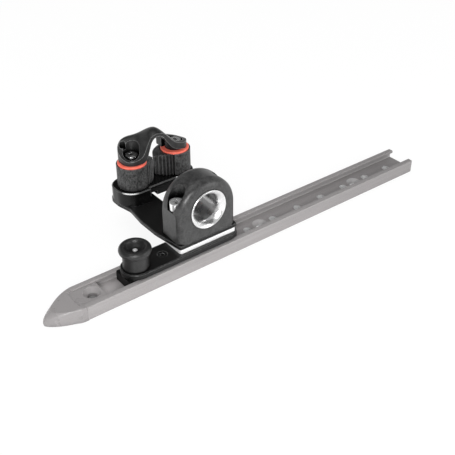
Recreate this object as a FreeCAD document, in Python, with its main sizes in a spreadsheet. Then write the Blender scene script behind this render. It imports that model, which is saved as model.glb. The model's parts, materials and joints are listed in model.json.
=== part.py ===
import FreeCAD, Part
import math
import os
import Sketcher

# A short length of slotted traveller track with one car on it. The car carries
# a sprung stop pin, a fairlead block with a polished bush, and an arm that holds
# a cam cleat with a bridge over its jaws.
# X runs along the track, Y across it, Z up. The origin is on the track's
# underside, at the middle one of its deck fastener holes. Millimetres.

V = FreeCAD.Vector
doc = FreeCAD.newDocument("TravellerTrack")


# Driving sizes

SIZES = {
    "track_length": 310.0, "track_width": 26.0, "track_height": 10.7,
    "floor_thick": 3.9, "wall_thick": 2.0, "lip_thick": 2.0, "slot_width": 17.2,
    "track_edge": 0.6, "stop_pitch": 25.0, "stop_count": 11.0, "stop_bore": 6.5,
    "deck_pitch": 100.0, "deck_count": 3.0, "deck_bore": 6.6, "deck_head": 12.4,
    "cap_length": 25.6, "cap_bulge_height": 3.2, "cap_bulge": 0.3,
    "cap_crown_length": 14.6, "cap_crown_half": 12.4,
    "cap_fall": 2.6, "cap_groove": 3.6, "cap_groove_radius": 3.2, "cap_edge": 0.9,
    "tongue_length": 17.5, "tongue_drop": 0.9, "cap_hole_inset": 10.4, "cap_gap": 0.15,
    "car_length": 94.6, "slider_gap": 0.35, "slider_nose": 2.2, "slider_tail": 6.2,
    "rest_from_end": 34.0,
    "plate_width": 22.5, "plate_thick": 4.0, "plate_lift": 0.9,
    "plate_edge": 0.6,
    "plate_screw_from_pin": 21.3, "plate_screw_head": 7.0, "plate_screw_shank": 4.0,
    "plate_screw_sunk": 2.8, "plate_screw_dip": 0.5, "seat_play": 0.2, "screw_tip_gap": 1.0,
    "pin_diameter": 6.0, "pin_stem": 3.4, "pin_floor_gap": 0.3, "pin_lift": 5.0,
    "pin_shoulder": 13.6, "pin_chamfer": 0.6, "running_gap": 0.05, "housing_lip": 1.2,
    "housing_outer": 10.4, "housing_flange": 13.6, "housing_cap": 1.8, "housing_height": 9.0,
    "spring_wire": 0.7, "spring_turns": 4.5,
    "knob_height": 16.2, "knob_foot": 18.5, "knob_flange": 22.6,
    "knob_bowl": 15.0, "knob_bowl_depth": 3.6, "knob_float": 0.3, "knob_rim": 6.0,
    "knob_step": 0.8,
    "base_thick": 3.2, "base_inset": 0.3, "block_half": 24.5, "block_from_pin": 55.1,
    "block_front": 8.7, "block_depth": 25.0, "block_crown": 24.9, "arch_height": 18.9,
    "block_round": 6.6, "block_round_back": 6.9, "bore_height": 21.5,
    "bush_bore": 19.8, "bush_wall": 1.8, "bush_lip": 29.4, "bush_stand": 0.8,
    "bush_flare": 4.6, "bush_rim": 0.8,
    "bolt_spacing": 37.6, "bolt_across": 2.2, "bolt_shank": 6.0, "bolt_head": 10.0,
    "bolt_head_height": 6.0, "bolt_seat": 23.6, "bolt_pocket": 12.8, "bolt_socket": 5.0,
    "arm_thick": 3.2, "arm_stem_left": 3.6, "arm_stem_right": 23.9, "arm_edge": 0.4,
    "arm_round": 10.0, "arm_notch_depth": 14.8, "arm_notch_right": 8.0,
    "cleat_across": 67.0, "cleat_along": 5.4, "cleat_spacing": 38.0,
    "cleat_reach_left": 15.0, "cleat_reach_right": 12.9,
    "cleat_web_lift": 2.2, "cleat_web_depth": 10.4, "cleat_slot_lift": 5.6,
    "cleat_slot_width": 5.8,
    "cleat_half_depth": 14.4, "cleat_corner": 13.4, "cleat_height": 11.0,
    "cleat_notch_half": 12.5, "cleat_notch_depth": 2.6, "cleat_edge": 0.7,
    "cleat_screw": 5.0, "cleat_head": 9.4, "cleat_head_height": 3.0, "cleat_pocket": 12.4,
    "cleat_nut": 8.0, "cleat_nut_height": 4.0, "screw_past_nut": 0.8,
    "cam_radius": 11.8, "cam_reach": 18.1, "cam_height": 17.6, "cam_gap": 0.35,
    "cam_teeth": 6.0, "tooth_depth": 1.9, "cam_bevel": 2.4, "post_radius": 4.6,
    "ball_radius": 1.5, "ball_count": 8.0, "ball_level": 9.0, "ball_gap": 0.05,
    "ring_outer": 21.6, "ring_thick": 1.8, "ring_seat": 0.5, "ring_chamfer": 0.3,
    "coil_wire": 1.0, "coil_radius": 7.6, "coil_turns": 2.0, "coil_gap": 0.1,
    "bridge_rise": 22.2, "bridge_back": 11.4, "bridge_lobe": 9.0, "bridge_shoulder": 4.2,
    "bridge_seat": 2.2, "bridge_gap": 0.3, "bridge_eye": 4.8, "bridge_eye_depth": 5.0,
}

sheet = doc.addObject("Spreadsheet::Sheet", "Sizes")
for row, (alias, number) in enumerate(SIZES.items(), start=1):
    sheet.set("A%d" % row, alias)
    sheet.set("B%d" % row, str(number))
    sheet.setAlias("B%d" % row, alias)
doc.recompute()


class Size:
    """A length as an expression on the sheet, with the number it stands for."""

    def __init__(self, text, value):
        self.text = text
        self.value = value

    def __add__(self, other):
        other = as_size(other)
        return Size("(%s + %s)" % (self.text, other.text), self.value + other.value)

    def __sub__(self, other):
        other = as_size(other)
        return Size("(%s - %s)" % (self.text, other.text), self.value - other.value)

    def __mul__(self, factor):
        factor = as_size(factor)
        return Size("(%s * %s)" % (self.text, factor.text), self.value * factor.value)

    def __truediv__(self, divisor):
        divisor = as_size(divisor)
        return Size("(%s / %s)" % (self.text, divisor.text), self.value / divisor.value)

    def __neg__(self):
        return Size("(0 - %s)" % self.text, -self.value)

    __radd__ = __add__
    __rmul__ = __mul__


def as_size(thing):
    return thing if isinstance(thing, Size) else Size(repr(float(thing)), float(thing))


def size(alias):
    return Size("Sizes." + alias, float(getattr(sheet, alias)))


ZERO = as_size(0)


# Levels and places that several pieces share

half_track = size("track_width") / 2
half_length = size("track_length") / 2
half_slot = size("slot_width") / 2
half_channel = half_track - size("wall_thick")
lip_low = size("track_height") - size("lip_thick")
plate_low = size("track_height") + size("plate_lift")
plate_top = plate_low + size("plate_thick")
base_top = plate_top + size("base_thick")
arm_top = base_top + size("arm_thick")
half_plate = size("plate_width") / 2
car_left = size("rest_from_end") - half_length
pin_x = car_left + half_plate
block_x = pin_x + size("block_from_pin")
block_face = -size("block_front")
block_back = block_face + size("block_depth")
arch_z = arm_top + size("arch_height")
bore_z = arm_top + size("bore_height")
bolt_seat_z = arm_top + size("bolt_seat")
cleat_x = block_x + size("cleat_along")
cleat_y = size("cleat_across")
cleat_top = arm_top + size("cleat_height")
cam_low = cleat_top + size("cam_gap")
cam_top = cam_low + size("cam_height")
ring_top = cam_top + size("ring_thick") - size("ring_seat")
bridge_low = ring_top + size("bridge_gap")
bridge_seat_z = bridge_low + size("bridge_seat")
SIDES = {"left": -1.0, "right": 1.0}
LEFT, RIGHT = 1.0, -1.0
# A six-sided socket's or nut's size across its corners, for each unit across its flats
HEX_CORNER = 2 / math.sqrt(3)


# Helpers

def bind(thing, path, amount):
    """Tie a property to the sheet."""
    thing.setExpression(path, as_size(amount).text)


def place(thing, x, y, z, axis=V(0, 0, 1), angle=0.0):
    x, y, z = as_size(x), as_size(y), as_size(z)
    where = V(x.value, y.value, z.value)
    thing.Placement = FreeCAD.Placement(where, FreeCAD.Rotation(axis, angle))
    for letter, amount in zip("xyz", (x, y, z)):
        bind(thing, "Placement.Base." + letter, amount)
    return thing


def new_body(name):
    made = doc.addObject("PartDesign::Body", name)
    made.Label = name
    return made


def new_sketch(body, role, offset=None):
    """A sketch on one of the body's own origin planes."""
    drawing = body.newObject("Sketcher::SketchObject", body.Name + "_sketch")
    base = next(item for item in body.Origin.OriginFeatures if item.Role == role)
    drawing.AttachmentSupport = [(base, "")]
    drawing.MapMode = "FlatFace"
    if offset is not None:
        drawing.AttachmentOffset = FreeCAD.Placement(V(0, 0, offset.value), FreeCAD.Rotation())
        bind(drawing, "AttachmentOffset.Base.z", offset)
    return drawing


def pin_point(drawing, index, spot, point):
    """Hold one end of a curve at a point whose two lengths come from the sheet."""
    for kind, amount in zip(("DistanceX", "DistanceY"), point):
        number = drawing.addConstraint(
            Sketcher.Constraint(kind, -1, 1, index, spot, as_size(amount).value))
        bind(drawing, "Constraints[%d]" % number, amount)


def draw_outline(drawing, points):
    """A closed outline through (x, y) points. A point given as (x, y, turn, radius)
    is followed by an arc that turns LEFT or RIGHT on its way to the next point."""
    first = drawing.GeometryCount
    count = len(points)
    flat = [V(as_size(point[0]).value, as_size(point[1]).value, 0) for point in points]
    heads = []
    for i, point in enumerate(points):
        start, finish = flat[i], flat[(i + 1) % count]
        if len(point) == 2:
            drawing.addGeometry(Part.LineSegment(start, finish), False)
            heads.append((1, 2))
            continue
        turn, radius = point[2], as_size(point[3])
        chord = finish - start
        aside = math.sqrt(radius.value ** 2 - chord.Length ** 2 / 4)
        left = V(-chord.y, chord.x, 0).normalize()
        centre = (start + finish) * 0.5 + left * (turn * aside)
        ends = (start, finish) if turn == LEFT else (finish, start)
        angles = [math.atan2(end.y - centre.y, end.x - centre.x) for end in ends]
        ring = Part.Circle(centre, V(0, 0, 1), radius.value)
        index = drawing.addGeometry(Part.ArcOfCircle(ring, *angles), False)
        heads.append((1, 2) if turn == LEFT else (2, 1))
        number = drawing.addConstraint(Sketcher.Constraint("Radius", index, radius.value))
        bind(drawing, "Constraints[%d]" % number, radius)
    for i in range(count):
        after = (i + 1) % count
        drawing.addConstraint(Sketcher.Constraint(
            "Coincident", first + i, heads[i][1], first + after, heads[after][0]))
        pin_point(drawing, first + i, heads[i][0], points[i][:2])
    return drawing


def draw_circle(drawing, x, y, radius):
    middle = V(as_size(x).value, as_size(y).value, 0)
    index = drawing.addGeometry(Part.Circle(middle, V(0, 0, 1), radius.value), False)
    pin_point(drawing, index, 3, (x, y))
    number = drawing.addConstraint(Sketcher.Constraint("Radius", index, radius.value))
    bind(drawing, "Constraints[%d]" % number, radius)
    return drawing


def draw_stadium(drawing, left, right, radius):
    """Two half circles centred on the X axis, joined by straight sides."""
    first = drawing.GeometryCount
    ends = ((left, 90.0), (right, -90.0))
    for middle, start in ends:
        ring = Part.Circle(V(middle.value, 0, 0), V(0, 0, 1), radius.value)
        arc = Part.ArcOfCircle(ring, math.radians(start), math.radians(start + 180))
        drawing.addGeometry(arc, False)
    for sign in (-1.0, 1.0):
        drawing.addGeometry(Part.LineSegment(V(left.value, sign * radius.value, 0),
                                             V(right.value, sign * radius.value, 0)), False)
    low, high = first + 2, first + 3
    joins = ((first, 2, low, 1), (low, 2, first + 1, 1), (first + 1, 2, high, 2),
             (high, 1, first, 1))
    for join in joins:
        drawing.addConstraint(Sketcher.Constraint("Tangent", *join))
    drawing.addConstraint(Sketcher.Constraint("Equal", first, first + 1))
    for index, (middle, start) in enumerate(ends):
        pin_point(drawing, first + index, 3, (middle, ZERO))
    number = drawing.addConstraint(Sketcher.Constraint("Radius", first, radius.value))
    bind(drawing, "Constraints[%d]" % number, radius)
    return drawing


def pad(body, drawing, length):
    made = body.newObject("PartDesign::Pad", body.Name + "_pad")
    made.Profile = drawing
    bind(made, "Length", length)
    body.Tip = made
    return made


def drill(body, drawing, downward):
    """Cut a sketch right through, away from its plane."""
    made = body.newObject("PartDesign::Pocket", body.Name + "_hole")
    made.Profile = drawing
    made.Type = "ThroughAll"
    made.Reversed = not downward
    body.Tip = made
    return made


def repeat(body, features, drawing, gap, count):
    made = body.newObject("PartDesign::LinearPattern", body.Name + "_row")
    made.Originals = features
    made.Direction = (drawing, ["H_Axis"])
    bind(made, "Length", gap * (count - 1))
    bind(made, "Occurrences", count)
    body.Tip = made
    return made


def turn(name, profile):
    """A turned piece about its own Z axis, from radius and height pairs."""
    body = new_body(name)
    drawing = draw_outline(new_sketch(body, "XZ_Plane"), profile)
    made = body.newObject("PartDesign::Revolution", name + "_turned")
    made.Profile = drawing
    made.ReferenceAxis = (drawing, ["V_Axis"])
    made.Angle = 360.0
    body.Tip = made
    return body


def cylinder(name, radius, height, x, y, z, axis=V(0, 0, 1), angle=0.0):
    made = doc.addObject("Part::Cylinder", name)
    bind(made, "Radius", radius)
    bind(made, "Height", height)
    return place(made, x, y, z, axis, angle)


def box(name, low, high):
    """A box between two corners, each of three lengths."""
    made = doc.addObject("Part::Box", name)
    low = [as_size(value) for value in low]
    high = [as_size(value) for value in high]
    for word, near, far in zip(("Length", "Width", "Height"), low, high):
        bind(made, word, far - near)
    return place(made, *low)


def fuse(name, pieces):
    made = doc.addObject("Part::MultiFuse", name)
    made.Shapes = pieces
    made.Refine = True
    return made


def cut(name, blank, tools):
    made = doc.addObject("Part::Cut", name)
    made.Base = blank
    made.Tool = tools[0] if len(tools) == 1 else fuse(name + "_tools", tools)
    made.Refine = True
    return made


def common(name, first, second):
    made = doc.addObject("Part::Common", name)
    made.Base = first
    made.Tool = second
    made.Refine = True
    return made


def shaped(name, shape):
    """A piece whose outline is worked out here from the sheet's sizes."""
    made = doc.addObject("Part::Feature", name)
    made.Shape = shape
    return made


def numbers(*things):
    return [as_size(thing).value for thing in things]


def rounded_outline(corners):
    """A closed flat wire through (x, y, radius) corners, each rounded by its radius."""
    count = len(corners)
    points = [V(*numbers(x, y, 0)) for x, y, radius in corners]
    edges = []
    ends = []
    for i in range(count):
        here = points[i]
        before = (points[i - 1] - here).normalize()
        after = (points[(i + 1) % count] - here).normalize()
        radius = as_size(corners[i][2]).value
        half = before.getAngle(after) / 2
        reach = radius / math.tan(half)
        centre_way = (before + after).normalize()
        middle = here + centre_way * (radius / math.sin(half) - radius)
        ends.append((here + before * reach, middle, here + after * reach))
    for i in range(count):
        start, middle, finish = ends[i]
        edges.append(Part.Arc(start, middle, finish).toShape())
        edges.append(Part.LineSegment(finish, ends[(i + 1) % count][0]).toShape())
    return Part.Wire(edges)


def slab(wire, low, high):
    """A flat piece from a wire drawn at height zero."""
    low, high = numbers(low, high)
    face = Part.Face(wire)
    face.translate(V(0, 0, low))
    return face.extrude(V(0, 0, high - low))


def edges_where(shape, test):
    """Names of the edges whose every corner, and middle, passes a test."""
    found = []
    for index, edge in enumerate(shape.Edges, start=1):
        spots = [vertex.Point for vertex in edge.Vertexes]
        spots.append(edge.valueAt((edge.FirstParameter + edge.LastParameter) / 2))
        if all(test(spot) for spot in spots):
            found.append("Edge%d" % index)
    return found


# Track and end cap

def make_track():
    body = new_body("track")
    section = new_sketch(body, "YZ_Plane", -half_length)
    draw_outline(section, [
        (-half_track, 0), (half_track, 0), (half_track, size("track_height")),
        (half_slot, size("track_height")), (half_slot, lip_low), (half_channel, lip_low),
        (half_channel, size("floor_thick")), (-half_channel, size("floor_thick")),
        (-half_channel, lip_low), (-half_slot, lip_low), (-half_slot, size("track_height")),
        (-half_track, size("track_height"))])
    bar = pad(body, section, size("track_length"))
    doc.recompute()
    rim = half_track.value - 0.01
    lip = half_slot.value + 0.01
    high = size("track_height").value - 0.01
    long_edges = edges_where(bar.Shape, lambda spot: (
        (abs(spot.y) > rim or (abs(spot.y) < lip and spot.z > high))
        and (spot.z < 0.01 or spot.z > high)))
    long_edges = [name for name in long_edges
                  if bar.Shape.getElement(name).Length > size("track_length").value - 0.01]
    rounded = body.newObject("PartDesign::Fillet", "track_edges")
    rounded.Base = (bar, long_edges)
    bind(rounded, "Radius", size("track_edge"))
    body.Tip = rounded

    first_stop = half_length - size("stop_pitch") * 0.7 - size("stop_pitch") * (size("stop_count") - 1)
    stops = new_sketch(body, "XY_Plane", size("floor_thick"))
    draw_circle(stops, first_stop, 0, size("stop_bore") / 2)
    hole = drill(body, stops, True)
    repeat(body, [hole], stops, size("stop_pitch"), size("stop_count"))

    first_deck = -(size("deck_pitch") * (size("deck_count") - 1) / 2)
    plain = new_sketch(body, "XY_Plane", size("floor_thick"))
    draw_circle(plain, first_deck, 0, size("deck_bore") / 2)
    deck = drill(body, plain, True)
    repeat(body, [deck], plain, size("deck_pitch"), size("deck_count"))
    sink = new_sketch(body, "XZ_Plane")
    depth = (size("deck_head") - size("deck_bore")) / 2
    top = size("floor_thick")
    draw_outline(sink, [
        (first_deck, top - depth), (first_deck + size("deck_bore") / 2, top - depth),
        (first_deck + size("deck_head") / 2, top), (first_deck, top)])
    cone = body.newObject("PartDesign::Groove", "track_countersink")
    cone.Profile = sink
    cone.ReferenceAxis = (sink, ["Edge4"])
    cone.Angle = 360.0
    body.Tip = cone
    repeat(body, [cone], sink, size("deck_pitch"), size("deck_count"))

    cap_hole = new_sketch(body, "XY_Plane", size("floor_thick"))
    draw_circle(cap_hole, size("cap_hole_inset") - half_length, 0, size("deck_bore") / 2)
    drill(body, cap_hole, True)


def make_end_cap():
    joint, half, height, long, crown_long, crown_half, fall = numbers(
        -half_length, half_track, size("track_height"), size("cap_length"),
        size("cap_crown_length"), size("cap_crown_half"), size("cap_fall"))

    def bow(reach, wide, level, shares):
        """A pointed bow, through shares of its reach and half width, closed at the joint."""
        side = [V(joint - reach * along, wide * across, level) for along, across in shares]
        points = side + [V(joint - reach, 0, level)]
        points += [V(point.x, -point.y, level) for point in reversed(side)]
        curve = Part.BSplineCurve()
        curve.interpolate(points, InitialTangent=V(-1, 0, 0), FinalTangent=V(1, 0, 0))
        return Part.Wire([curve.toShape(), Part.LineSegment(points[-1], points[0]).toShape()])

    foot = bow(long, half, 0.0, [(0, 1), (0.27, 0.90), (0.54, 0.69), (0.80, 0.41), (0.95, 0.17)])
    crown = bow(crown_long, crown_half, height,
                [(0, 1), (0.27, 0.95), (0.54, 0.82), (0.80, 0.59), (0.95, 0.29)])
    middle = bow(long + size("cap_bulge").value, half, size("cap_bulge_height").value,
                 [(0, 1), (0.27, 0.91), (0.54, 0.70), (0.80, 0.42), (0.95, 0.18)])
    nose = Part.makeLoft([foot, middle, crown], True, False)
    crest = joint - size("cap_groove").value
    far = joint - long - 1.0
    beside = half + 1.0
    low_side = height - fall * (crest - far) / (long - size("cap_groove").value)
    ramp = Part.Face(Part.makePolygon([
        V(crest, -beside, height), V(far, -beside, low_side), V(far, -beside, height + 2),
        V(crest, -beside, height + 2), V(crest, -beside, height)])).extrude(V(0, 2 * beside, 0))
    nose = nose.cut(ramp)
    sloped = [edge for edge in nose.Edges
              if edge.BoundBox.ZMin > height / 2 and edge.BoundBox.XMin < crest - 1
              and edge.BoundBox.XLength > 1]
    shaped("end_cap_nose", nose.makeFillet(size("cap_edge").value, sloped))

    gap = size("cap_gap")
    finish = size("tongue_length") - half_length
    tongue_top = size("track_height") - size("tongue_drop")
    inside = -half_length - size("wall_thick")
    neck = box("end_cap_neck", (inside, gap - half_slot, lip_low - gap * 2),
               (finish, half_slot - gap, tongue_top))
    flange = box("end_cap_flange", (inside, gap - half_channel, size("floor_thick") + gap),
                 (finish, half_channel - gap, lip_low - gap))
    joined = fuse("end_cap_blank", [doc.getObject("end_cap_nose"), neck, flange])
    hole_x = size("cap_hole_inset") - half_length
    sink_depth = (size("deck_head") - size("deck_bore")) / 2
    bore = cylinder("end_cap_bore", size("deck_bore") / 2, size("track_height"),
                    hole_x, 0, size("floor_thick") - 1)
    sink = doc.addObject("Part::Cone", "end_cap_sink")
    bind(sink, "Radius1", size("deck_bore") / 2)
    bind(sink, "Radius2", size("deck_head") / 2)
    bind(sink, "Height", sink_depth)
    place(sink, hole_x, 0, tongue_top - sink_depth)
    mouth = cylinder("end_cap_mouth", size("deck_head") / 2, size("tongue_drop") + 1,
                     hole_x, 0, tongue_top)
    # A shallow groove across the cap, where its crest comes down to the tongue
    drop_x = -half_length - size("cap_groove") / 2
    level = box("end_cap_level", (drop_x, gap - half_slot, tongue_top),
                (finish + 1, half_slot - gap, size("track_height") + 1))
    groove = cylinder("end_cap_groove", size("cap_groove_radius"), half_slot * 2 - gap * 2,
                      drop_x, half_slot - gap, tongue_top + size("cap_groove_radius"),
                      V(1, 0, 0), 90.0)
    cut("end_cap", joined, [bore, sink, mouth, level, groove])


# Car: slider, plate and stop plunger

def through_holes(name, low, high, housing):
    """Cutters for the bolts, the plate screws and the plunger, through one layer."""
    tall = high - low
    tools = []
    for side, sign in SIDES.items():
        tools.append(cylinder("%s_bolt_%s" % (name, side), size("bolt_shank") / 2, tall,
                              block_x + size("bolt_spacing") / 2 * sign, size("bolt_across"), low))
    if housing is not None:
        tools.append(cylinder(name + "_plunger", housing, tall, pin_x, 0, low))
        for number, x in enumerate((pin_x + size("plate_screw_from_pin"), block_x)):
            tools.append(cylinder("%s_screw_%d" % (name, number), size("plate_screw_shank") / 2,
                                  tall, x, 0, low))
    return tools


def make_slider():
    gap = size("slider_gap")
    low = size("floor_thick") + gap
    flange_top = lip_low - gap
    right = car_left + size("car_length")
    nose = size("slider_nose")
    tail = size("slider_tail")
    wide = half_channel - gap
    body = new_body("slider_flange")
    drawing = draw_outline(new_sketch(body, "XY_Plane", low), [
        (car_left, nose - wide), (car_left + nose, -wide), (right - tail, -wide),
        (right, tail - wide), (right, wide - tail), (right - tail, wide),
        (car_left + nose, wide), (car_left, wide - nose)])
    pad(body, drawing, flange_top - low)
    upper = new_body("slider_neck")
    half = half_slot - gap
    inner = tail - (wide - half)
    drawing = draw_outline(new_sketch(upper, "XY_Plane", low), [
        (car_left, -half), (right - inner, -half), (right, inner - half),
        (right, half - inner), (right - inner, half), (car_left, half)])
    pad(upper, drawing, plate_low - low)
    blank = fuse("slider_blank", [body, upper])
    tools = through_holes("slider_hole", low - 1, plate_low + 1, size("housing_outer") / 2)
    cut("slider", blank, tools)


def make_car_plate():
    body = new_body("car_plate_blank")
    right = car_left + size("car_length") - half_plate
    drawing = draw_stadium(new_sketch(body, "XY_Plane", plate_low), pin_x, right, half_plate)
    bar = pad(body, drawing, size("plate_thick"))
    doc.recompute()
    high = plate_top.value - 0.01
    edge = body.newObject("PartDesign::Chamfer", "car_plate_edge")
    edge.Base = (bar, edges_where(bar.Shape, lambda spot: spot.z > high))
    bind(edge, "Size", size("plate_edge"))
    body.Tip = edge
    tools = through_holes("car_plate_hole", plate_low - 1, plate_top + 1, size("housing_outer") / 2)
    sunk = size("plate_screw_sunk")
    for number, x in enumerate((pin_x + size("plate_screw_from_pin"), block_x)):
        tools.append(cylinder("car_plate_seat_%d" % number,
                              size("plate_screw_head") / 2 + size("seat_play"),
                              sunk + 1, x, 0, plate_top - sunk))
    cut("car_plate", body, tools)


def socket_screw(name, head, head_height, shank, tip, seat, x, y, socket):
    """A cap screw: head above its seat, shank down to its tip, six-sided socket."""
    top = cylinder(name + "_head", head / 2, head_height, x, y, seat)
    stem = cylinder(name + "_stem", shank / 2, seat - tip, x, y, tip)
    drive = doc.addObject("Part::Prism", name + "_drive")
    drive.Polygon = 6
    bind(drive, "Circumradius", socket / 2 * HEX_CORNER)
    bind(drive, "Height", head_height)
    place(drive, x, y, seat + head_height * 0.45)
    return cut(name, fuse(name + "_blank", [top, stem]), [drive])


def make_plate_screws():
    seat = plate_top - size("plate_screw_sunk")
    screws = []
    for number, x in enumerate((pin_x + size("plate_screw_from_pin"), block_x)):
        screws.append(socket_screw(
            "plate_screw_%d" % number, size("plate_screw_head"),
            size("plate_screw_sunk") - size("plate_screw_dip"), size("plate_screw_shank"),
            size("floor_thick") + size("screw_tip_gap"), seat, x, ZERO,
            size("plate_screw_head") * 0.42))
    group = doc.addObject("Part::Compound", "plate_screws")
    group.Links = screws


def make_plunger():
    pin = size("pin_diameter") / 2
    stem = size("pin_stem") / 2
    slide = pin + size("running_gap")
    outer = size("housing_outer") / 2
    flange = size("housing_flange") / 2
    low = size("floor_thick") + size("slider_gap")
    top = plate_top + size("housing_height")
    under_cap = top - size("housing_cap")
    housing = turn("plunger_housing", [
        (slide, low), (outer, low), (outer, plate_top), (flange, plate_top),
        (flange, plate_top + size("housing_lip")), (outer, plate_top + size("housing_lip")),
        (outer, top),
        (stem + size("running_gap"), top), (stem + size("running_gap"), under_cap),
        (slide, under_cap)])
    place(housing, pin_x, 0, 0)

    tip = size("floor_thick") + size("pin_floor_gap")
    shoulder = size("pin_shoulder")
    knob_low = plate_top + size("knob_float")
    knob_top = knob_low + size("knob_height")
    bowl_floor = knob_top - size("knob_bowl_depth")
    bevel = size("pin_chamfer")
    pin_top = bowl_floor + bevel
    rod = turn("stop_pin", [
        (0, tip), (pin - bevel, tip), (pin, tip + bevel), (pin, shoulder), (stem, shoulder),
        (stem, pin_top - bevel * 0.7), (stem - bevel * 0.7, pin_top), (0, pin_top)])
    place(rod, pin_x, 0, 0)

    hollow = flange + size("knob_float")
    hollow_top = top + size("knob_float")
    foot = size("knob_foot") / 2
    wide = size("knob_flange") / 2
    bowl = size("knob_bowl") / 2
    rim = size("knob_rim")
    cove = size("knob_height") * 3
    body = new_body("plunger_knob")
    drawing = new_sketch(body, "XZ_Plane")
    draw_outline(drawing, [
        (stem, hollow_top), (hollow, hollow_top), (hollow, knob_low), (foot, knob_low),
        (foot, knob_low + size("knob_step"), RIGHT, cove),
        (wide - rim * 0.32, knob_top - rim, LEFT, rim * 0.57), (wide - rim * 0.27, knob_top),
        (bowl + rim * 0.12, knob_top, LEFT, rim * 0.25),
        (bowl - rim * 0.07, knob_top - rim * 0.15, RIGHT, rim * 0.95), (bowl * 0.47, bowl_floor),
        (stem, bowl_floor)])
    turned = body.newObject("PartDesign::Revolution", "plunger_knob_turned")
    turned.Profile = drawing
    turned.ReferenceAxis = (drawing, ["V_Axis"])
    turned.Angle = 360.0
    body.Tip = turned
    place(body, pin_x, 0, 0)

    wire = size("spring_wire").value / 2
    start, finish, middle = numbers(
        shoulder + size("coil_gap"), under_cap - size("coil_gap"), pin_x)
    radius = (stem.value + slide.value) / 2
    shaped("plunger_spring", coil(radius, wire, start + wire, finish - wire,
                                  size("spring_turns").value, V(middle, 0, 0)))


def coil(radius, wire, low, high, turns, where):
    """Round wire swept along a helix about a line parallel to Z."""
    path = Part.makeHelix((high - low) / turns, high - low, radius)
    ring = Part.Wire(Part.Circle(V(radius, 0, 0), V(0, 1, 0), wire).toShape())
    sweep = Part.Wire(path.Edges).makePipeShell([ring], True, True)
    sweep.translate(where + V(0, 0, low))
    return sweep


# Fairlead block and what it stands on

def make_base_plate():
    inset = size("base_inset")
    body = new_body("base_plate_blank")
    left = block_x - size("block_half") + inset
    right = block_x + size("block_half") - inset
    drawing = draw_outline(new_sketch(body, "XY_Plane", plate_top), [
        (left, block_face + inset), (right, block_face + inset),
        (right, block_back - inset), (left, block_back - inset)])
    bar = pad(body, drawing, size("base_thick"))
    doc.recompute()
    rounded = body.newObject("PartDesign::Fillet", "base_plate_corners")
    upright = [name for name in edges_where(bar.Shape, lambda spot: True)
               if abs(bar.Shape.getElement(name).tangentAt(0).z) > 0.9]
    rounded.Base = (bar, upright)
    bind(rounded, "Radius", size("base_thick") * 0.6)
    body.Tip = rounded
    cut("base_plate", body, through_holes("base_plate_hole", plate_top - 1, base_top + 1, None))


def make_arm_plate():
    half = size("block_half")
    stem_left = block_x - half - size("arm_stem_left")
    stem_right = block_x - half + size("arm_stem_right")
    head_front = cleat_y - size("cleat_half_depth")
    head_back = cleat_y + size("cleat_half_depth")
    head_left = cleat_x - size("cleat_spacing") / 2 - size("cleat_reach_left")
    head_right = cleat_x + size("cleat_spacing") / 2 + size("cleat_reach_right")
    round_off = size("arm_round")
    notch_back = head_front + size("arm_notch_depth")
    notch_right = cleat_x + size("arm_notch_right")
    foot_right = block_x + half + round_off * 0.08
    corners = [
        (block_x - half, block_face, round_off * 0.22), (foot_right, block_face, round_off * 0.22),
        (foot_right, block_back, round_off * 0.9),
        (stem_right, block_back + round_off * 1.4, round_off),
        (stem_right, notch_back, round_off * 0.2), (notch_right, notch_back, round_off * 0.2),
        (notch_right, head_front, round_off * 0.3), (head_right, head_front, round_off * 1.2),
        (head_right, head_back, round_off), (head_left, head_back, round_off * 0.9),
        (head_left, head_front + round_off * 1.3, round_off),
        (head_left + round_off * 0.26, head_front + round_off * 0.06, round_off * 1.4),
        (stem_left, head_front - round_off * 1.64, round_off * 2),
        (stem_left, block_back + round_off * 0.1, round_off * 3)]
    plate = slab(rounded_outline(corners), base_top, arm_top)
    high, low = arm_top.value - 0.01, base_top.value + 0.01
    rim = [plate.getElement(name) for name in
           edges_where(plate, lambda spot: spot.z > high or spot.z < low)]
    rim = [edge for edge in rim if edge.Vertexes[0].Z == edge.Vertexes[-1].Z]
    shaped("arm_plate_blank", plate.makeChamfer(size("arm_edge").value, rim))
    tools = through_holes("arm_plate_hole", base_top - 1, arm_top + 1, None)
    for side, sign in SIDES.items():
        tools.append(cylinder("arm_plate_cleat_" + side, size("cleat_screw") / 2,
                              size("arm_thick") + 2, cleat_x + size("cleat_spacing") / 2 * sign,
                              cleat_y, base_top - 1))
    cut("arm_plate", doc.getObject("arm_plate_blank"), tools)


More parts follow.
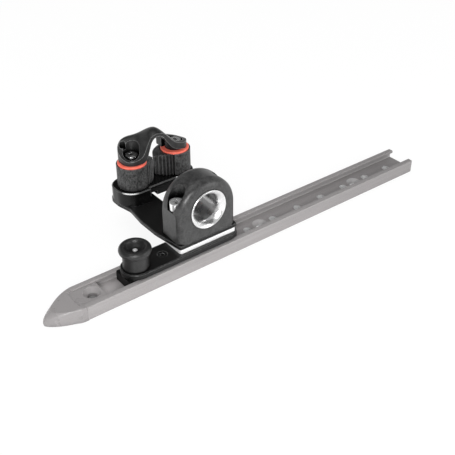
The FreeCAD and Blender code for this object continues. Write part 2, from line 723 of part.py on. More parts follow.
def make_block():
    crown = size("block_crown")
    below = arm_top - size("block_round")
    tower = box("block_tower", (block_x - crown, block_face, below),
                (block_x + crown, block_back, arch_z))
    arch = cylinder("block_arch", crown, size("block_depth"), block_x, block_back, arch_z,
                    V(1, 0, 0), 90.0)
    blank = fuse("block_blank", [tower, arch])
    doc.recompute()
    floor = below.value + 0.01
    rounds = []
    for level, radius in ((block_face.value, size("block_round")),
                          (block_back.value, size("block_round_back"))):
        names = edges_where(blank.Shape, lambda spot: abs(spot.y - level) < 0.01)
        names = [name for name in names
                 if max(v.Z for v in blank.Shape.getElement(name).Vertexes) > floor]
        rounds += [(int(name[4:]), radius.value, radius.value) for name in names]
    rounded = doc.addObject("Part::Fillet", "block_rounded")
    rounded.Base = blank
    rounded.Edges = rounds
    flats = box("block_flats", (block_x - size("block_half"), block_face - 1, arm_top),
                (block_x + size("block_half"), block_back + 1, arch_z + crown + 1))
    trimmed = common("block_trimmed", rounded, flats)
    tube = size("bush_bore") / 2 + size("bush_wall")
    lip = size("bush_lip") / 2
    tools = [cylinder("block_bore", tube, size("block_depth") + 2, block_x, block_back + 1,
                      bore_z, V(1, 0, 0), 90.0)]
    for name, face, tilt in (("front", block_face, -90.0), ("back", block_back, 90.0)):
        seat = doc.addObject("Part::Cone", "block_seat_" + name)
        bind(seat, "Radius1", lip)
        bind(seat, "Radius2", tube)
        bind(seat, "Height", lip - tube)
        tools.append(place(seat, block_x, face, bore_z, V(1, 0, 0), tilt))
    for side, sign in SIDES.items():
        x = block_x + size("bolt_spacing") / 2 * sign
        tools.append(cylinder("block_pocket_" + side, size("bolt_pocket") / 2,
                              size("block_crown") * 2, x, size("bolt_across"), bolt_seat_z))
        tools.append(cylinder("block_bolt_" + side, size("bolt_shank") / 2,
                              size("bolt_seat") + 2, x, size("bolt_across"), arm_top - 1))
    cut("fairlead_block", trimmed, tools)


def make_bush():
    """A thin liner, flared over at both mouths, turned about the bore's axis."""
    bore = size("bush_bore") / 2
    outer = bore + size("bush_wall")
    lip = size("bush_lip") / 2
    rim = size("bush_rim")
    flare = size("bush_flare")
    back = block_back
    front = block_face
    high = back + size("bush_stand")
    low = front - size("bush_stand")
    sweep = flare * 1.9
    liner = turn("bore_bush", [
        (bore, high - flare, RIGHT, sweep), (lip - rim, high, RIGHT, rim * 0.8),
        (lip, high - rim * 0.7), (lip, back), (outer, back - (lip - outer)),
        (outer, front + (lip - outer)), (lip, front), (lip, low + rim * 0.7, RIGHT, rim * 0.8),
        (lip - rim, low, RIGHT, sweep), (bore, low + flare)])
    liner.Placement = FreeCAD.Placement(V(0, 0, 0), FreeCAD.Rotation(V(1, 0, 0), -90.0))
    bind(liner, "Placement.Base.x", block_x)
    bind(liner, "Placement.Base.z", bore_z)


def make_block_screws():
    for side, sign in SIDES.items():
        socket_screw("block_screw_" + side, size("bolt_head"), size("bolt_head_height"),
                     size("bolt_shank"), size("floor_thick") + size("screw_tip_gap"), bolt_seat_z,
                     block_x + size("bolt_spacing") / 2 * sign, size("bolt_across"),
                     size("bolt_socket"))


# Cam cleat

def post_x(sign):
    return cleat_x + size("cleat_spacing") / 2 * sign


def make_cleat_base():
    front = cleat_y - size("cleat_half_depth")
    back = cleat_y + size("cleat_half_depth")
    left = post_x(-1.0) - size("cleat_reach_left")
    right = post_x(1.0) + size("cleat_reach_right")
    notch = size("cleat_notch_half")
    waist = front + size("cleat_notch_depth")
    corner = size("cleat_corner")
    small = size("cleat_notch_depth") * 0.45
    corners = [
        (left, front, corner), (cleat_x - notch, front, small), (cleat_x - notch, waist, small),
        (cleat_x + notch, waist, small), (cleat_x + notch, front, small), (right, front, corner),
        (right, back, corner * 0.8), (left, back, corner * 0.8)]
    foot = slab(rounded_outline(corners), arm_top, cleat_top)
    high = cleat_top.value - 0.01
    rim = [foot.getElement(name) for name in edges_where(foot, lambda spot: spot.z > high)]
    foot = foot.makeChamfer(size("cleat_edge").value, rim)
    shaped("cleat_base_foot", foot)
    posts = []
    tools = []
    for side, sign in SIDES.items():
        x = post_x(sign)
        posts.append(cylinder("cleat_post_" + side, size("post_radius"),
                              bridge_low - cleat_top, x, cleat_y, cleat_top))
        tools.append(cylinder("cleat_base_screw_" + side, size("cleat_screw") / 2,
                              bridge_low - arm_top + 2, x, cleat_y, arm_top - 1))
    web_left = block_x - size("block_half") + size("arm_stem_right")
    web_back = front + size("cleat_web_depth")
    tools.append(box("cleat_web_recess", (web_left, front - 1, arm_top - 1),
                     (cleat_x + size("arm_notch_right"), web_back,
                      arm_top + size("cleat_web_lift"))))
    tools.append(box("cleat_web_slot", (web_left - size("cleat_slot_width"), front - 1,
                                        arm_top - 1),
                     (web_left, web_back, arm_top + size("cleat_slot_lift"))))
    coil_room = size("coil_radius") + size("coil_wire")
    depth = size("coil_wire") * (size("coil_turns") + 1.5)
    for side, sign in SIDES.items():
        outer = cylinder("cleat_coil_outer_" + side, coil_room, depth + 1,
                         post_x(sign), cleat_y, cleat_top - depth)
        inner = cylinder("cleat_coil_inner_" + side, size("post_radius"), depth + 1,
                         post_x(sign), cleat_y, cleat_top - depth)
        tools.append(cut("cleat_coil_room_" + side, outer, [inner]))
    cut("cleat_base", fuse("cleat_base_blank", [doc.getObject("cleat_base_foot")] + posts), tools)


def cam_outline(sign):
    """Round back, and a toothed face whose radius grows towards the gap."""
    radius, reach, teeth, depth = numbers(
        size("cam_radius"), size("cam_reach"), size("cam_teeth"), size("tooth_depth"))
    teeth = int(teeth)
    start, finish, shoulder_at, release = -56.0, 2.0, 42.0, 75.0

    def spot(angle, r):
        turn_angle = math.radians(angle)
        return V(-sign * r * math.cos(turn_angle), r * math.sin(turn_angle), 0)

    def face_radius(angle):
        share = (angle - start) / (finish - start)
        return radius + (reach - radius) * share ** 1.35

    points = []
    for tooth in range(teeth):
        low = start + (finish - start) * tooth / teeth
        step = (finish - start) / teeth
        points.append(spot(low, face_radius(low)))
        points.append(spot(low + step * 0.30, face_radius(low + step * 0.30) - depth * 0.9))
        points.append(spot(low + step * 0.70, face_radius(low + step * 0.70) - depth * 0.9))
    points.append(spot(finish, reach))
    edges = [Part.LineSegment(points[i], points[i + 1]).toShape() for i in range(len(points) - 1)]
    shoulder = spot(shoulder_at, (reach + radius) / 2 + depth * 0.4)
    back_start = spot(release, radius)
    edges.append(Part.Arc(points[-1], shoulder, back_start).toShape())
    edges.append(Part.Arc(back_start, spot(178.0, radius), points[0]).toShape())
    return Part.Wire(edges)


def make_cams():
    post, ball, gap = numbers(size("post_radius"), size("ball_radius"), size("ball_gap"))
    race = post + 2 * ball + 2 * gap
    low, high, ring_r, seat, level = numbers(
        cam_low, cam_top, size("ring_outer") / 2, size("ring_seat"), size("ball_level"))
    count = int(size("ball_count").value)
    for side, sign in SIDES.items():
        middle = V(*numbers(post_x(sign), cleat_y, 0))
        jaw = Part.Face(cam_outline(sign)).extrude(V(0, 0, high - low))
        jaw.translate(middle + V(0, 0, low))
        bore = Part.makeCylinder(post + gap, high - low, middle + V(0, 0, low))
        track = Part.makeCylinder(race, 2 * ball + 2 * gap,
                                  middle + V(0, 0, low + level - ball - gap))
        mouth = Part.makeCylinder(ring_r, seat, middle + V(0, 0, high - seat))
        bevel_tool = jaw_bevel(middle, high)
        shaped("cam_" + side, jaw.cut([bore, track, mouth, bevel_tool]))

        balls = []
        orbit = post + gap + ball
        for index in range(count):
            angle = 2 * math.pi * index / count
            centre = middle + V(orbit * math.cos(angle), orbit * math.sin(angle), low + level)
            balls.append(Part.makeSphere(ball, centre))
        shaped("cam_balls_" + side, Part.makeCompound(balls))

        ring = turn("wear_ring_" + side, [
            (size("post_radius") + size("running_gap"), cam_top - size("ring_seat")),
            (size("ring_outer") / 2, cam_top - size("ring_seat")),
            (size("ring_outer") / 2, ring_top - size("ring_chamfer")),
            (size("ring_outer") / 2 - size("ring_chamfer"), ring_top),
            (size("post_radius") + size("running_gap"), ring_top)])
        place(ring, post_x(sign), cleat_y, 0)

        wire, coil_r, turns, play = numbers(
            size("coil_wire"), size("coil_radius"), size("coil_turns"), size("coil_gap"))
        bottom = cleat_top.value - wire * (turns + 1.5) + play + wire / 2
        top = low - play - wire / 2
        shaped("cam_spring_" + side, coil(coil_r, wire / 2, bottom, top, turns, middle))


def jaw_bevel(middle, high):
    """The ring of material that the sloped top edge of the toothed face takes off."""
    reach, inner, drop = numbers(
        size("cam_reach"), size("cam_radius") + size("cam_gap") * 2, size("cam_bevel"))
    outer = Part.makeCylinder(reach * 1.25, drop * 1.5, middle + V(0, 0, high - drop))
    cone = Part.makeCone(reach * 1.03, inner, drop, middle + V(0, 0, high - drop))
    lid = Part.makeCylinder(inner, drop, middle + V(0, 0, high))
    return outer.cut(cone).cut(lid)


# Crest of the bridge at four stations across it. Each point is a share of a screw's
# offset from the middle, and a share of the bridge's rise.
FRONT_CREST = [
    (-1.48, 0.17), (-1.00, 0.18), (-0.79, 0.24), (-0.63, 0.42), (-0.50, 0.64), (-0.38, 0.80),
    (-0.21, 0.88), (0.00, 0.885), (0.20, 0.83), (0.38, 0.70), (0.55, 0.53), (0.73, 0.38),
    (0.91, 0.30), (1.12, 0.25), (1.48, 0.20)]
MIDDLE_CREST = [
    (-1.48, 0.21), (-1.00, 0.25), (-0.78, 0.40), (-0.61, 0.62), (-0.45, 0.80), (-0.28, 0.92),
    (-0.10, 0.985), (0.06, 0.98), (0.22, 0.89), (0.40, 0.73), (0.58, 0.56), (0.77, 0.42),
    (0.95, 0.33), (1.15, 0.26), (1.48, 0.19)]
BEHIND_CREST = [
    (-1.48, 0.32), (-1.08, 0.44), (-0.84, 0.57), (-0.64, 0.68), (-0.46, 0.76), (-0.28, 0.83),
    (-0.10, 0.87), (0.07, 0.86), (0.24, 0.78), (0.42, 0.66), (0.60, 0.53), (0.78, 0.41),
    (0.97, 0.31), (1.16, 0.24), (1.48, 0.13)]
REAR_CREST = [
    (-1.48, 0.41), (-1.15, 0.57), (-0.92, 0.63), (-0.70, 0.63), (-0.48, 0.605), (-0.28, 0.58),
    (-0.10, 0.56), (0.08, 0.53), (0.26, 0.48), (0.44, 0.42), (0.62, 0.36), (0.80, 0.30),
    (0.98, 0.24), (1.16, 0.18), (1.48, 0.09)]
# The strap's underside is the crest drawn in by one share and lifted by the other
UNDER_DRAW, UNDER_LIFT = 0.8, 1.11


def make_bridge():
    """A moulded saddle: a thick strap that leaves each lobe in an S, arches over the gap
    and spreads behind into a hood, high over the left screw and low over the right one."""
    x0, y0, low, rise = numbers(cleat_x, cleat_y, bridge_low, size("bridge_rise"))
    lobe, back = numbers(size("bridge_lobe"), size("bridge_back"))
    level = size("bridge_shoulder").value / rise
    post = size("cleat_spacing").value / 2
    below = low - rise
    stations = [(y0 - lobe - 0.5, FRONT_CREST), (y0 - lobe * 0.22, MIDDLE_CREST),
                (y0 + lobe * 0.5, BEHIND_CREST), (y0 + back + 0.5, REAR_CREST)]

    def section(y, crest):
        top = [V(x0 + post * across, y, low + rise * up) for across, up in crest]
        over = Part.BSplineCurve()
        over.interpolate(top)
        feet = [V(top[-1].x, y, below), V(top[0].x, y, below)]
        return Part.Wire([
            over.toShape(), Part.LineSegment(top[-1], feet[0]).toShape(),
            Part.LineSegment(feet[0], feet[1]).toShape(),
            Part.LineSegment(feet[1], top[0]).toShape()])

    def lowered(crest):
        return [(across * UNDER_DRAW, (up - level) * UNDER_LIFT) for across, up in crest]

    outside = Part.makeLoft([section(y, crest) for y, crest in stations], True, False)
    inside = Part.makeLoft([section(y, lowered(crest)) for y, crest in stations], True, False)
    fills = []
    for sign in SIDES.values():
        centre = V(x0 + post * sign, y0, low)
        fills.append(Part.makeCylinder(lobe * 0.84, rise * 2, centre))
        corner = V(min(x0 + sign * (post - lobe * 0.3), x0 + sign * (post + lobe)), y0, low)
        fills.append(Part.makeBox(lobe * 1.3, back, rise * 2, corner))
        heel = V(min(x0 + sign * (post - lobe), x0 + sign * post), y0 + lobe * 0.5, low)
        fills.append(Part.makeBox(lobe, back, rise * 2, heel))
    tunnel = inside.cut(fills)
    half = post + lobe
    plan = rounded_outline([
        (x0 - half, y0 - lobe, lobe * 0.98), (x0 + half, y0 - lobe, lobe * 0.98),
        (x0 + half, y0 + back - lobe * 0.28, lobe * 0.94),
        (x0 + post * 0.68, y0 + back, lobe * 0.6),
        (x0 - half + lobe * 0.08, y0 + back, lobe * 0.98)])
    shaped("bridge_shell", outside.cut(tunnel).common(slab(plan, low, low + rise * 2)))
    tools = []
    for side, sign in SIDES.items():
        x = post_x(sign)
        tools.append(cylinder("bridge_screw_" + side, size("cleat_screw") / 2,
                              size("bridge_rise") + 2, x, cleat_y, bridge_low - 1))
        tools.append(cylinder("bridge_seat_" + side, size("cleat_pocket") / 2,
                              size("bridge_rise") + 2, x, cleat_y, bridge_seat_z))
    tools.append(cylinder("bridge_eye", size("bridge_eye") / 2, size("bridge_rise"),
                          post_x(-1.0) - size("bridge_eye") * 0.6,
                          cleat_y + size("bridge_eye") * 1.5,
                          bridge_seat_z + size("bridge_eye_depth")))
    cut("cleat_bridge", doc.getObject("bridge_shell"), tools)


def make_cleat_screws():
    nuts = []
    for side, sign in SIDES.items():
        x = post_x(sign)
        socket_screw("cleat_screw_" + side, size("cleat_head"), size("cleat_head_height"),
                     size("cleat_screw"), base_top - size("cleat_nut_height") - size("screw_past_nut"),
                     bridge_seat_z, x, cleat_y, size("cleat_head") * 0.4)
        nut = doc.addObject("Part::Prism", "cleat_nut_blank_" + side)
        nut.Polygon = 6
        bind(nut, "Circumradius", size("cleat_nut") / 2 * HEX_CORNER)
        bind(nut, "Height", size("cleat_nut_height"))
        place(nut, x, cleat_y, base_top - size("cleat_nut_height"))
        nuts.append(cut("cleat_nut_" + side, nut, [
            cylinder("cleat_nut_bore_" + side, size("cleat_screw") / 2,
                     size("cleat_nut_height") + 2, x, cleat_y,
                     base_top - size("cleat_nut_height") - 1)]))
    group = doc.addObject("Part::Compound", "cleat_nuts")
    group.Links = nuts


for make in (make_track, make_end_cap, make_slider, make_car_plate, make_plate_screws,
             make_plunger, make_base_plate, make_arm_plate, make_block, make_bush,
             make_block_screws, make_cleat_base, make_cams, make_bridge, make_cleat_screws):
    make()
doc.recompute()


# Check every object, then write one file for each piece

NODES = [
    "track", "end_cap", "slider", "car_plate", "plate_screws", "plunger_housing", "stop_pin",
    "plunger_spring", "plunger_knob", "base_plate", "arm_plate", "fairlead_block", "bore_bush",
    "block_screw_left", "block_screw_right", "cleat_base", "cam_left", "cam_right",
    "wear_ring_left", "wear_ring_right", "cam_balls_left", "cam_balls_right",
    "cam_spring_left", "cam_spring_right", "cleat_bridge", "cleat_screw_left",
    "cleat_screw_right", "cleat_nuts"]

for thing in doc.Objects:
    if "Invalid" in thing.State or "Error" in thing.State:
        raise RuntimeError("%s failed: %s" % (thing.Name, thing.State))

os.makedirs("parts", exist_ok=True)
for node in NODES:
    shape = doc.getObject(node).Shape
    if shape.isNull() or not shape.isValid() or not shape.Solids:
        raise RuntimeError("%s has no valid solid" % node)
for node in NODES:
    shape = doc.getObject(node).Shape
    shape.exportStep(os.path.join("parts", node + ".step"))
    limits = shape.BoundBox
    print("%-18s solids %2d volume %9.1f  x %.1f..%.1f  y %.1f..%.1f  z %.1f..%.1f" % (
        node, len(shape.Solids), shape.Volume, limits.XMin, limits.XMax, limits.YMin,
        limits.YMax, limits.ZMin, limits.ZMax))
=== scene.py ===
import json

import bpy
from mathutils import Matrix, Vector


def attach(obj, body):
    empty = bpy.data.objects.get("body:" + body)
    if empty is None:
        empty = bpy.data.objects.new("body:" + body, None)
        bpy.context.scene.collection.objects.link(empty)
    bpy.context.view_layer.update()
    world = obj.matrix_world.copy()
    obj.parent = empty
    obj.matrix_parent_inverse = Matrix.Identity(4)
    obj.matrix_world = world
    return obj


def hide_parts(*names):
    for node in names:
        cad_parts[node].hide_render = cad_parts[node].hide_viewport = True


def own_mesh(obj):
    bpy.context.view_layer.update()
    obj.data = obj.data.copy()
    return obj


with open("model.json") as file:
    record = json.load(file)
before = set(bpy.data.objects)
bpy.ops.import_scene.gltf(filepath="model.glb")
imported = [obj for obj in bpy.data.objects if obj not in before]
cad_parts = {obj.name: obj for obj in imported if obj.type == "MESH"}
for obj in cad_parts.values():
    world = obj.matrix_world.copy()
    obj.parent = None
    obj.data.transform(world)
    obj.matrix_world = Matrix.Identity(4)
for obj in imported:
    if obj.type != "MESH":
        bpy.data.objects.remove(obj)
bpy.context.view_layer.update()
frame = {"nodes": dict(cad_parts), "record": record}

# The looks of a slotted track with a cleat car on it: finishes, light and camera.
# Metres, in the frame of the track: X along it, Y across it, Z up from the deck.

MM = 0.001

# Camera

CAMERA_AT = Vector((-320.2, -371.2, 336.3)) * MM
CAMERA_TARGET = Vector((-19.06, 16.02, 0.0)) * MM
SENSOR_WIDTH = 36.0
LENS = 61.884
CLIP_NEAR = 0.01
CLIP_FAR = 50.0

# Floor. The camera sees mostly paper white, and the rest is a matte floor with the shadow.

FLOOR_HALF = 6.0
FLOOR_DROP = 0.1 * MM
FLOOR_TONE = 0.95
PAPER_SHARE = 0.88

# Light of the surroundings, by height above the horizon, and the greys that gloss sees

WORLD_STRENGTH = 0.85
LOW_LIGHT = 0.95
HIGH_LIGHT = 0.74
OVERHEAD_FROM = 0.10
OVERHEAD_TO = 0.52
OVERHEAD_GREY = 0.045
FLAG_GREY = 0.10

# Lamps: place, width, height and power

LAMP_TARGET = Vector((-0.04, 0.02, 0.03))
LAMPS = {
    "key_lamp": ((-0.85, -1.05, 0.70), 0.6, 0.5, 15.5),
    "side_lamp": ((0.8, -1.15, 0.50), 0.7, 0.6, 4.5),
    "top_lamp": ((-0.3, 0.1, 1.5), 1.0, 1.0, 5.0),
}

# The track's and cap's shared tone, and how much more red it has
TRACK_TONE = 0.315
TRACK_WARM = 0.05

# Most of a noise lies between these two values
NOISE_LOW = 0.3
NOISE_HIGH = 0.7


# Node building

def add(tree, kind, sockets=None, **settings):
    """One node. Sockets take a plain value or another node's output."""
    made = tree.nodes.new("ShaderNode" + kind)
    for name, value in settings.items():
        setattr(made, name, value)
    for name, value in (sockets or {}).items():
        feed(tree, made.inputs[name], value)
    return made


def feed(tree, socket, value):
    """Links a socket to another node's output, or sets its plain value."""
    if isinstance(value, bpy.types.NodeSocket):
        tree.links.new(value, socket)
    else:
        socket.default_value = value


def math_node(tree, operation, first, second=0.0, clamp=False):
    made = add(tree, "Math", operation=operation, use_clamp=clamp)
    feed(tree, made.inputs[0], first)
    feed(tree, made.inputs[1], second)
    return made.outputs[0]


def times(tree, first, second):
    return math_node(tree, "MULTIPLY", first, second)


def mixed(tree, first, second, share):
    """The first value at its share, plus the second for the rest."""
    return math_node(tree, "ADD", times(tree, first, share), times(tree, second, 1.0 - share))


def blend_colours(tree, share, first, second):
    """The first colour at share 0, the second at share 1."""
    made = add(tree, "Mix", data_type="RGBA")
    feed(tree, made.inputs[0], share)
    feed(tree, made.inputs[6], first)
    feed(tree, made.inputs[7], second)
    return made.outputs[2]


def mix_shaders(tree, share, first, second):
    """The first shader at share 0, the second at share 1."""
    made = add(tree, "MixShader")
    feed(tree, made.inputs[0], share)
    tree.links.new(first.outputs[0], made.inputs[1])
    tree.links.new(second.outputs[0], made.inputs[2])
    return made


def spread(tree, value, low, high, to_low=0.0, to_high=1.0):
    """Stretches a value's range from low..high to to_low..to_high."""
    made = add(tree, "MapRange", {
        "Value": value, "From Min": low, "From Max": high, "To Min": to_low, "To Max": to_high})
    return made.outputs[0]


def noise_range(tree, value, to_low=0.0, to_high=1.0):
    return spread(tree, value, NOISE_LOW, NOISE_HIGH, to_low, to_high)


def grey(level, warm=0.0):
    """A linear grey, with a little more red in it if asked."""
    return (level * (1 + warm), level, level, 1.0)


def track_tone(share):
    return grey(TRACK_TONE * share, TRACK_WARM)


# Parts of materials

def surface_place(tree, stretch=(1.0, 1.0, 1.0)):
    """Where a point is on its own piece, in metres, squeezed or stretched along each axis."""
    coordinates = add(tree, "TexCoord")
    mapping = add(tree, "Mapping", {"Vector": coordinates.outputs["Object"], "Scale": stretch})
    return mapping.outputs[0]


def noise(tree, size_mm, detail=3.0, roughness=0.55, stretch=(1.0, 1.0, 1.0)):
    """Cloudy noise whose main features are size_mm across."""
    made = add(tree, "TexNoise", {
        "Vector": surface_place(tree, stretch), "Scale": 1.0 / (size_mm * MM),
        "Detail": detail, "Roughness": roughness})
    return made.outputs["Fac"]


def plain_normal(tree):
    return add(tree, "NewGeometry").outputs["Normal"]


def soft_normal(tree, radius_mm):
    """The surface's direction with every sharp edge rounded by a small radius."""
    return add(tree, "Bevel", {"Radius": radius_mm * MM}, samples=6).outputs[0]


def cosine(tree, first, second):
    made = add(tree, "VectorMath", operation="DOT_PRODUCT")
    feed(tree, made.inputs[0], first)
    feed(tree, made.inputs[1], second)
    return made.outputs["Value"]


def edge_share(tree, radius_mm):
    """About 1 on a sharp edge, and 0 on open faces."""
    return spread(tree, cosine(tree, soft_normal(tree, radius_mm), plain_normal(tree)), 0.995, 0.86)


def towards_share(tree, vector, towards, outer, inner):
    """1 where a vector points along a direction, and 0 well beside it. Both limits are cosines."""
    return spread(tree, cosine(tree, vector, towards), outer, inner)


def level_share(tree):
    """1 on a level face, 0 on an upright wall."""
    split = add(tree, "SeparateXYZ", {"Vector": plain_normal(tree)})
    return math_node(tree, "ABSOLUTE", split.outputs["Z"])


def fillet_highlight_share(tree):
    """Mask of a painted highlight on the rounded edge between an upright wall and a level face:
    full on the side of the main lamp, faint elsewhere, and 0 on wall and face."""
    normal = plain_normal(tree)
    upward = add(tree, "SeparateXYZ", {"Vector": normal}).outputs["Z"]
    above_wall = spread(tree, upward, 0.20, 0.50)
    below_top = spread(tree, upward, 0.98, 0.85)
    lit = towards_share(tree, normal, (-0.45, -0.55, 0.70), 0.93, 0.985)
    rounded = times(tree, above_wall, below_top)
    return times(tree, rounded, spread(tree, lit, 0.0, 1.0, 0.07, 1.0))


def openness(tree, reach_mm, floor, closed=0.25):
    """Mask of painted shade: 1 where the surface lies open, down to the floor value deep in a
    recess.
    """
    shade = add(tree, "AmbientOcclusion", {"Distance": reach_mm * MM}, samples=8)
    return spread(tree, shade.outputs["AO"], closed, 0.9, floor, 1.0)


def with_painted_shade(tree, colour, share):
    """Painted shade: the colour at share 1, near black at share 0."""
    return blend_colours(tree, share, grey(0.001), colour)


def relief(tree, height, depth_mm, strength, normal):
    made = add(tree, "Bump", {
        "Height": height, "Distance": depth_mm * MM, "Strength": strength, "Normal": normal})
    return made.outputs[0]


def new_material(name):
    made = bpy.data.materials.new(name)
    made.use_nodes = True
    made.node_tree.nodes.clear()
    return made, made.node_tree


def finish_material(made, tree, **sockets):
    """A principled surface. Socket names are given with underscores for spaces."""
    named = {key.replace("_", " "): value for key, value in sockets.items()}
    surface = add(tree, "BsdfPrincipled", named)
    output = add(tree, "OutputMaterial")
    tree.links.new(surface.outputs[0], output.inputs["Surface"])
    return made


# Materials, one for each of the record's slots

def anodised_track():
    """Warm grey anodised extrusion with fine drawn lines along it, and painted highlights on its
    edges. It gets darker to the right with painted shade, the channel's floor near the cap gets
    painted light, and the upright walls low in the channel, the holes' walls among them, are
    painted pale as painted light."""
    made, tree = new_material("track_alloy")
    lines = noise(tree, 0.8, 4.0, 0.7, (0.02, 1.0, 1.0))
    bands = noise(tree, 3.0, 2.0, 0.5, (0.03, 1.0, 1.0))
    grains = noise(tree, 1.0, 3.0, 0.7)
    clouds = noise(tree, 14.0, 3.0)
    place = add(tree, "SeparateXYZ", {"Vector": surface_place(tree)}).outputs

    drawn = noise_range(tree, mixed(tree, lines, bands, 0.5))
    base = blend_colours(tree, drawn, track_tone(0.86), track_tone(1.10))
    # Painted highlight: the edges are lightened.
    base = blend_colours(tree, times(tree, edge_share(tree, 0.35), 0.7), base, track_tone(1.5))
    speckle = spread(tree, grains, 0.40, 0.62, 0.0, 0.22)
    base = blend_colours(tree, speckle, base, track_tone(0.45))
    # Painted shade: the track darkens towards its right end.
    painted_far_shade = spread(tree, place["X"], -20.0 * MM, 170.0 * MM, 0.0, 0.45)
    base = blend_colours(tree, painted_far_shade, base, track_tone(0.45))

    low_down = spread(tree, place["Z"], 6.0 * MM, 3.0 * MM)
    aside = math_node(tree, "ABSOLUTE", place["Y"])
    in_channel = times(tree, low_down, spread(tree, aside, 11.2 * MM, 10.8 * MM))
    # Painted light: the channel's floor near the cap is lightened where it lies in shade.
    painted_light_near_cap = spread(tree, place["X"], -120.0 * MM, -132.0 * MM)
    base = blend_colours(tree, times(tree, painted_light_near_cap, in_channel), base, track_tone(1.9))
    # Painted light: the upright walls low in the channel, the holes' walls among them, are painted
    # a pale grey.
    painted_light_hole_wall = times(tree, spread(tree, level_share(tree), 0.97, 0.10), in_channel)
    base = blend_colours(tree, painted_light_hole_wall, base, grey(0.62))

    grain = relief(tree, lines, 0.02, 0.35, soft_normal(tree, 0.25))
    return finish_material(made, tree, Base_Color=base, Metallic=0.18, Normal=grain,
                           Roughness=noise_range(tree, clouds, 0.38, 0.48))


def moulded_plastic(name, low, high, roughness, grain_mm=0.5, depth_mm=0.03, warm=0.0,
                    edge_highlight_tone=None, edge_mm=0.3, mottle_mm=4.0, specular=0.5, recess_mm=5.0,
                    recess_floor=0.25, recess_closed=0.25, fillet_highlight_tone=None,
                    dull_recess=False):
    """Moulded plastic: a fine eroded texture, slow colour clouds, softened edges and painted
    highlights on edges and fillets. Recesses get painted shade, and with dull_recess they lose
    their gloss too."""
    made, tree = new_material(name)
    fine = noise(tree, grain_mm, 3.0, 0.6)
    slow = noise(tree, mottle_mm, 3.0)
    tone = spread(tree, mixed(tree, fine, slow, 0.55), 0.38, 0.62)
    base = blend_colours(tree, tone, grey(low, warm), grey(high, warm))
    if edge_highlight_tone is not None:
        # Painted highlight: edges are lightened.
        edge = times(tree, edge_share(tree, edge_mm), 0.8)
        base = blend_colours(tree, edge, base, grey(edge_highlight_tone, warm))
    # Painted shade: recesses are darkened.
    recess_shade_share = openness(tree, recess_mm, recess_floor, recess_closed)
    base = with_painted_shade(tree, base, recess_shade_share)
    if fillet_highlight_tone is not None:
        # Painted highlight on the fillets, strongest on the main lamp's side.
        fillet = times(tree, fillet_highlight_share(tree), 0.8)
        base = blend_colours(tree, fillet, base, grey(fillet_highlight_tone, warm))
    gloss = times(tree, recess_shade_share, specular) if dull_recess else specular
    rough = noise_range(tree, slow, roughness - 0.04, roughness + 0.05)
    skin = relief(tree, fine, depth_mm, 0.4, soft_normal(tree, 0.3))
    return finish_material(made, tree, Base_Color=base, Roughness=rough, Normal=skin,
                           Specular_IOR_Level=gloss)


def black_anodised():
    """Black anodised plate: deep black faces, walls with less gloss, edges worn to a thin grey
    line that is partly painted highlight, and painted shade in recesses and where parts meet."""
    made, tree = new_material("black_alloy")
    fine = noise(tree, 0.25, 3.0, 0.6)
    slow = noise(tree, 6.0, 4.0)
    base = blend_colours(tree, spread(tree, fine, 0.35, 0.65), grey(0.004), grey(0.007))
    # Lightened edges: partly rubbed wear, partly painted highlight.
    rubbed_and_lit_edge = times(tree, edge_share(tree, 0.35), noise_range(tree, slow, 0.35, 0.75))
    base = blend_colours(tree, rubbed_and_lit_edge, base, grey(0.42))
    # Painted shade in recesses and where parts meet.
    base = with_painted_shade(tree, base, openness(tree, 3.0, 0.1, 0.45))
    gloss = spread(tree, level_share(tree), 0.2, 0.8, 0.30, 0.5)
    skin = relief(tree, fine, 0.015, 0.3, soft_normal(tree, 0.25))
    return finish_material(made, tree, Base_Color=base, Normal=skin, Specular_IOR_Level=gloss,
                           Roughness=noise_range(tree, slow, 0.30, 0.42))


def carbon_filled():
    """Cam plastic with chopped fibre in it: pale and dark flecks, matte, tooth edges paled by wear
    and painted highlight, and painted shade in the grooves.
    """
    made, tree = new_material("cam_composite")
    fleck = noise(tree, 1.1, 2.0, 0.7, (1.0, 1.0, 0.7))
    fine = noise(tree, 0.3, 3.0, 0.65)
    slow = noise(tree, 5.0, 2.0)
    tone = spread(tree, mixed(tree, fleck, slow, 0.7), 0.40, 0.62)
    base = blend_colours(tree, tone, grey(0.006), grey(0.072))
    # Lightened tooth edges: partly wear, partly painted highlight.
    worn_and_lit_edge = times(tree, edge_share(tree, 0.4), 0.8)
    base = blend_colours(tree, worn_and_lit_edge, base, grey(0.26))
    # Painted shade in the grooves between teeth.
    base = with_painted_shade(tree, base, openness(tree, 3.4, 0.02, 0.40))
    skin = relief(tree, fine, 0.08, 0.6, soft_normal(tree, 0.25))
    return finish_material(made, tree, Base_Color=base, Roughness=0.55, Normal=skin,
                           Specular_IOR_Level=0.45)


def red_washer():
    """Orange-red plastic washer, satin, with fine turning marks."""
    made, tree = new_material("ring_plastic")
    slow = noise(tree, 3.0, 2.0)
    fine = noise(tree, 0.3, 2.0)
    base = blend_colours(tree, noise_range(tree, slow),
                         (0.82, 0.13, 0.085, 1.0), (0.95, 0.21, 0.15, 1.0))
    skin = relief(tree, fine, 0.02, 0.3, soft_normal(tree, 0.2))
    return finish_material(made, tree, Base_Color=base, Roughness=0.38, Normal=skin)


